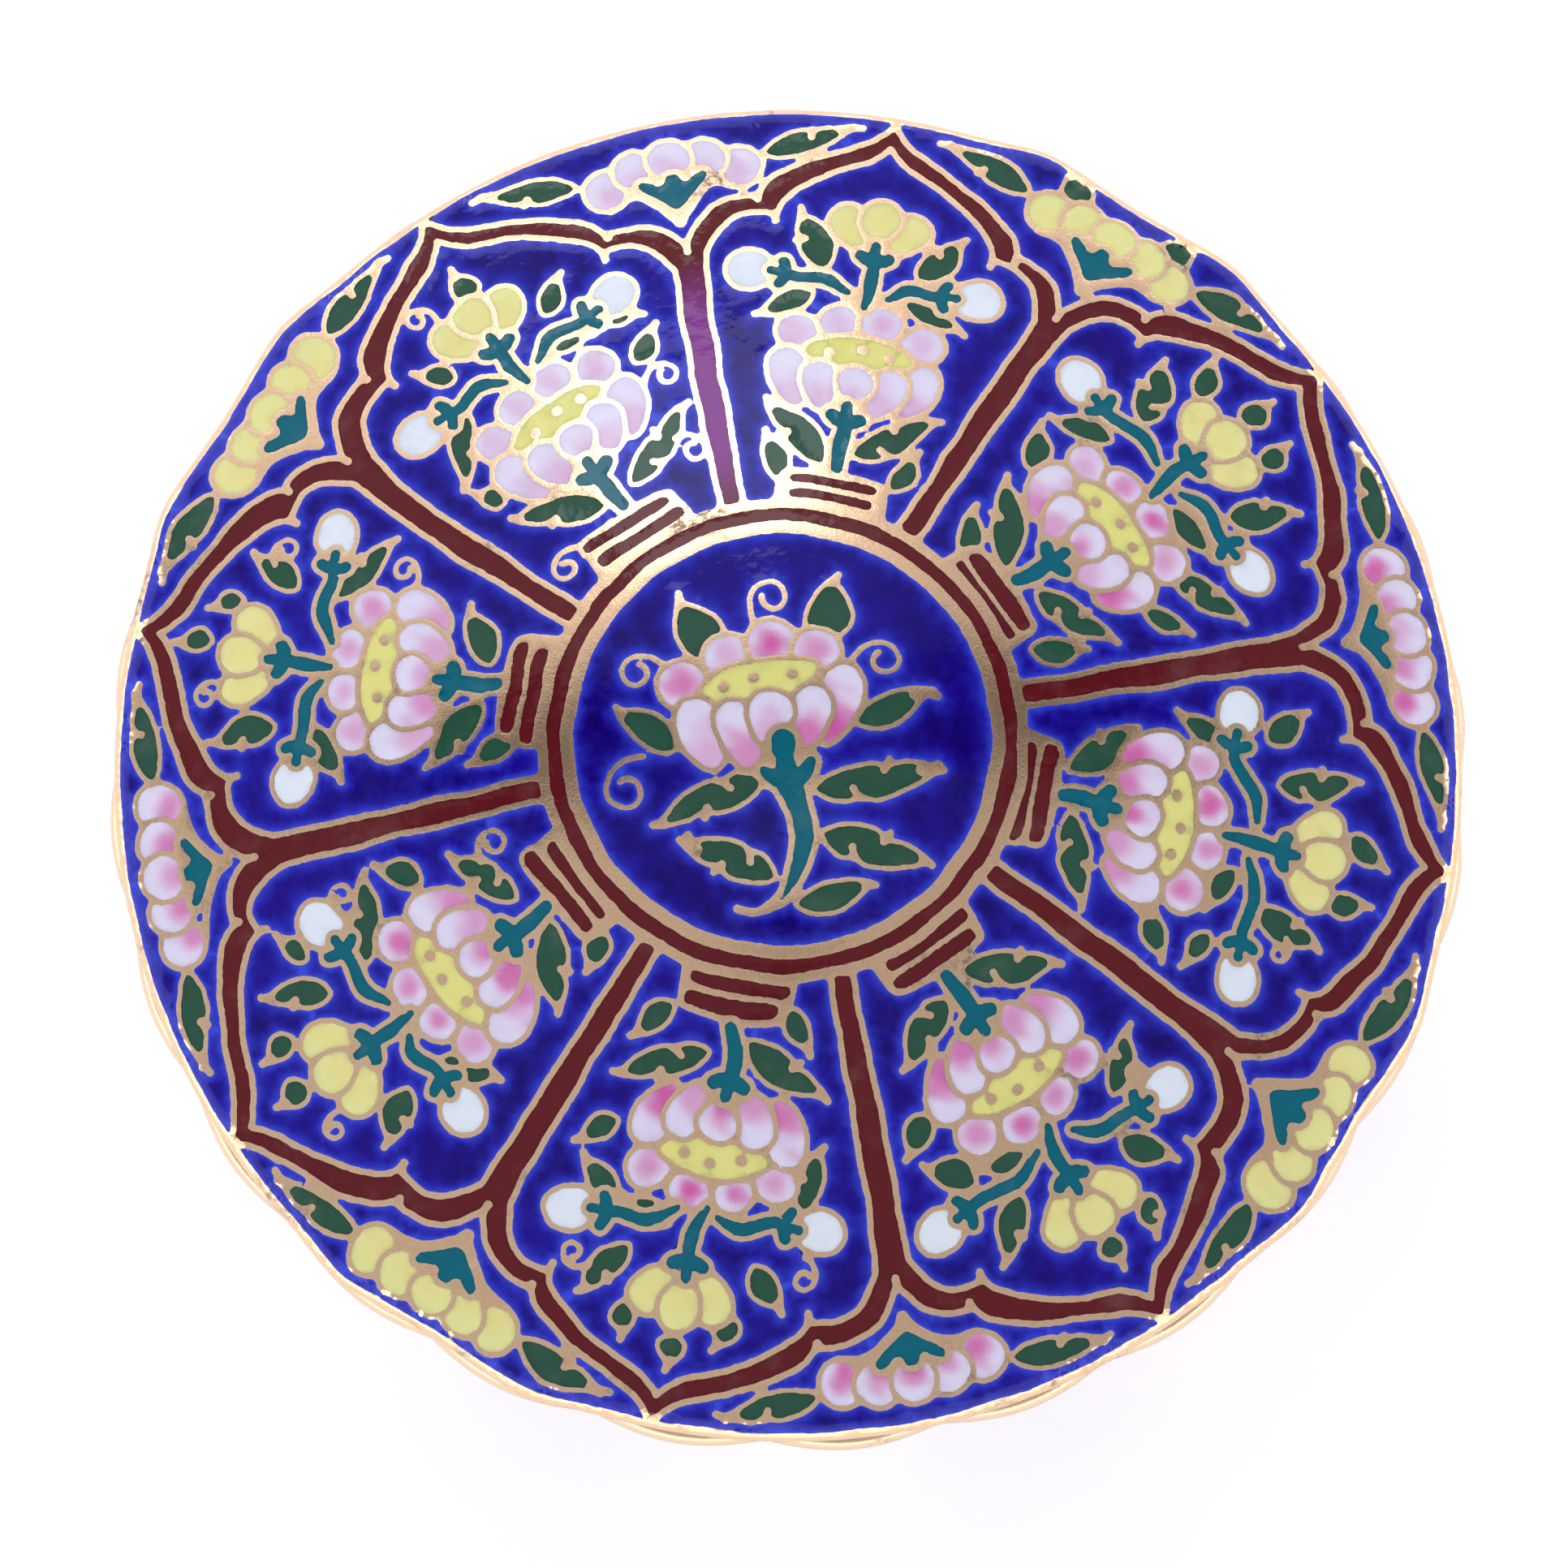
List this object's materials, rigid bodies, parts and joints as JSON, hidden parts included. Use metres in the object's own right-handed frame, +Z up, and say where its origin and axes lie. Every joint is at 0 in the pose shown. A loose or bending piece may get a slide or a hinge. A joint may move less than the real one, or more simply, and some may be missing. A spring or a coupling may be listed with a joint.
{
  "type": "lidded box",
  "caption": "Round porcelain box with a loose domed lid, scalloped rims and a foot ring, enamelled in gold-lined floral panels on cobalt blue.",
  "frame": {"origin": "centre of the box on the surface that it stands on, level with the underside of the foot ring", "axes": "+Z up through the crown of the lid, +Y towards the back of the box as the lid's picture stands upright, +X to its right"},
  "size_m": [0.1048, 0.1048, 0.0551],
  "materials": {
    "lid_enamel": "glossy cobalt glaze with raised enamels and gold lines, white inside",
    "base_enamel": "glossy cobalt glaze with raised enamels and a gold rim, white inside and underneath"
  },
  "bodies": {
    "root": {"lid": "lid_enamel", "base": "base_enamel"}
  },
  "joints": []
}
